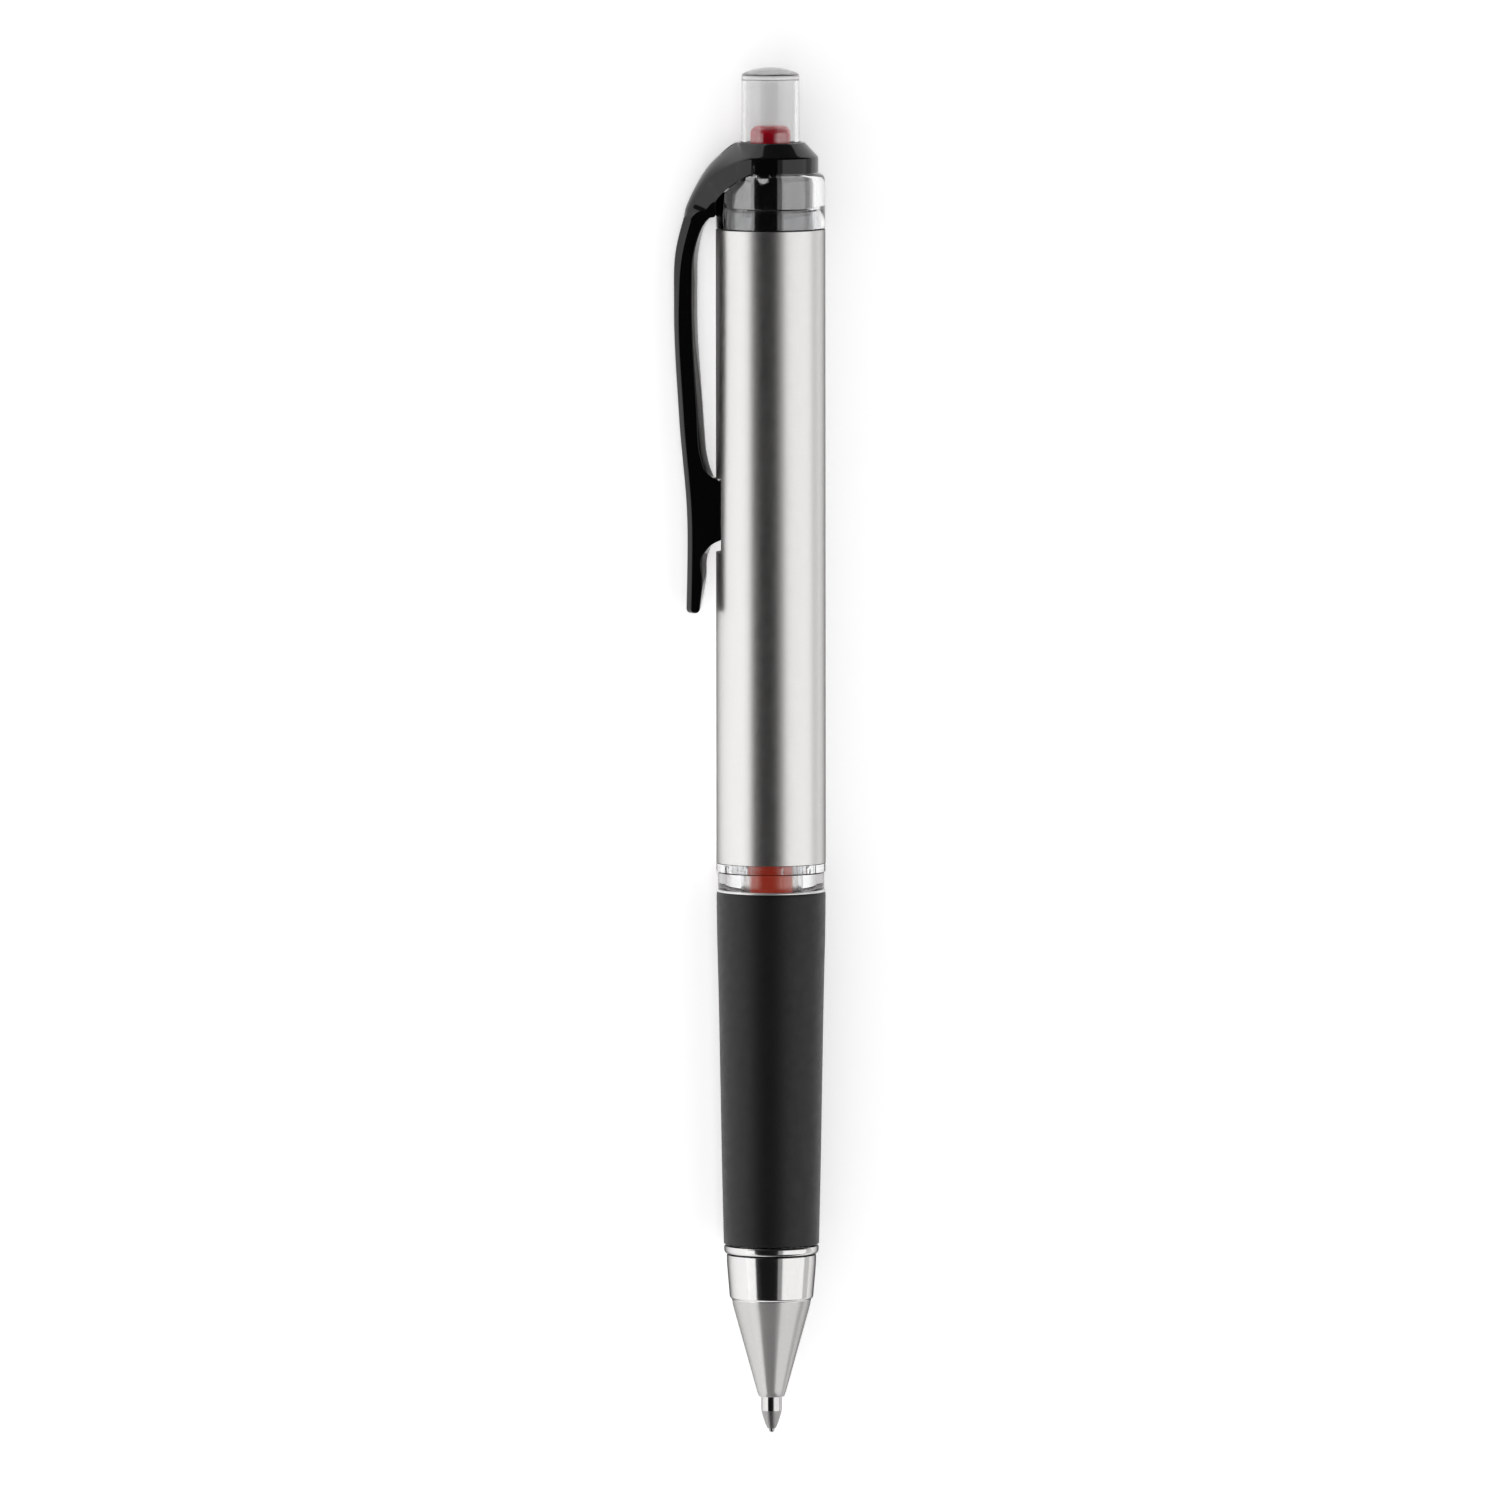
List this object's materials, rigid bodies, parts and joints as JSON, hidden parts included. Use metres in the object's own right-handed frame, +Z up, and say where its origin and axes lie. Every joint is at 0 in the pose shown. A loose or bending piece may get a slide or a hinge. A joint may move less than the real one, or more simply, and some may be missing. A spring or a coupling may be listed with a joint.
{
  "type": "retractable pen",
  "caption": "Retractable gel pen with a clear click button, black side clip, satin metal sleeve, tapered rubber grip and metal nose.",
  "frame": {"origin": "on the desk, at the middle of the pen's length, on the flat of the sleeve that the pen lies on; the pen's axis is straight above it", "axes": "+X along the pen towards its writing point, +Z up from the desk, and the clip stands out towards -Y and leans down to the desk"},
  "size_m": [0.148, 0.016, 0.0118],
  "materials": {
    "smoky_clear_plastic": "clear, slightly smoky, polished",
    "red_plastic": "moulded, semi-gloss",
    "black_plastic": "high gloss",
    "clear_plastic": "clear, polished",
    "satin_metal": "satin",
    "grip_rubber": "matte",
    "polished_metal": "polished",
    "nose_metal": "polished band and satin cone",
    "spring_steel": "drawn wire",
    "refill_plastic": "natural translucent",
    "ink": "gel seen through the tube",
    "follower_grease": "clear grease",
    "white_plastic": "moulded",
    "point_steel": "drawn and turned",
    "ball_metal": "polished"
  },
  "bodies": {
    "barrel": {"barrel_sleeve": "satin_metal", "barrel_liner": "clear_plastic", "clear_neck": "clear_plastic", "clip_collar": "black_plastic", "cam_guide": "black_plastic"},
    "clip": {"clip_arm": "black_plastic"},
    "button": {"push_button": "smoky_clear_plastic"},
    "rotor": {"cam_rotor": "red_plastic"},
    "spring": {"return_spring": "spring_steel"},
    "front": {"front_barrel": "clear_plastic", "rubber_grip": "grip_rubber", "nose_ring": "polished_metal", "nose_cone": "nose_metal"},
    "refill": {"point_shell": "point_steel", "writing_ball": "ball_metal", "tip_holder": "white_plastic", "refill_tube": "refill_plastic", "ink_column": "ink", "ink_follower": "follower_grease", "refill_end_plug": "white_plastic"}
  },
  "joints": [
    {"name": "button_press", "type": "slide", "parent": "barrel", "child": "button", "axis": [-1, 0, 0], "range_m": [-0.001, 0.005]},
    {"name": "cam_turn", "type": "hinge", "parent": "button", "child": "rotor", "pos_m": [-0.045, 0, 0.00592], "axis": [1, 0, 0], "range_deg": [-9, 45]},
    {"name": "clip_flex", "type": "hinge", "parent": "barrel", "child": "clip", "pos_m": [-0.0575, -0.00716, 0.00258], "axis": [0, 0.4226, -0.9063], "range_deg": [0, 6], "stiffness_Nm_per_rad": 6},
    {"name": "front_travel", "type": "slide", "parent": "barrel", "child": "spring", "axis": [1, 0, 0], "range_m": [0, 0.006]},
    {"name": "front_unscrew", "type": "hinge", "parent": "spring", "child": "front", "pos_m": [0.03, 0, 0.00592], "axis": [1, 0, 0], "range_deg": [0, 1080]},
    {"name": "refill_slide", "type": "slide", "parent": "spring", "child": "refill", "axis": [-1, 0, 0], "range_m": [-0.001, 0.005], "deforming": ["return_spring"]}
  ],
  "couplings": [
    {"joint": "cam_turn", "follows": "button_press", "rad_per_m": 157.08},
    {"joint": "refill_slide", "follows": "button_press", "ratio": 1},
    {"joint": "front_unscrew", "follows": "front_travel", "rad_per_m": 3141.6}
  ]
}
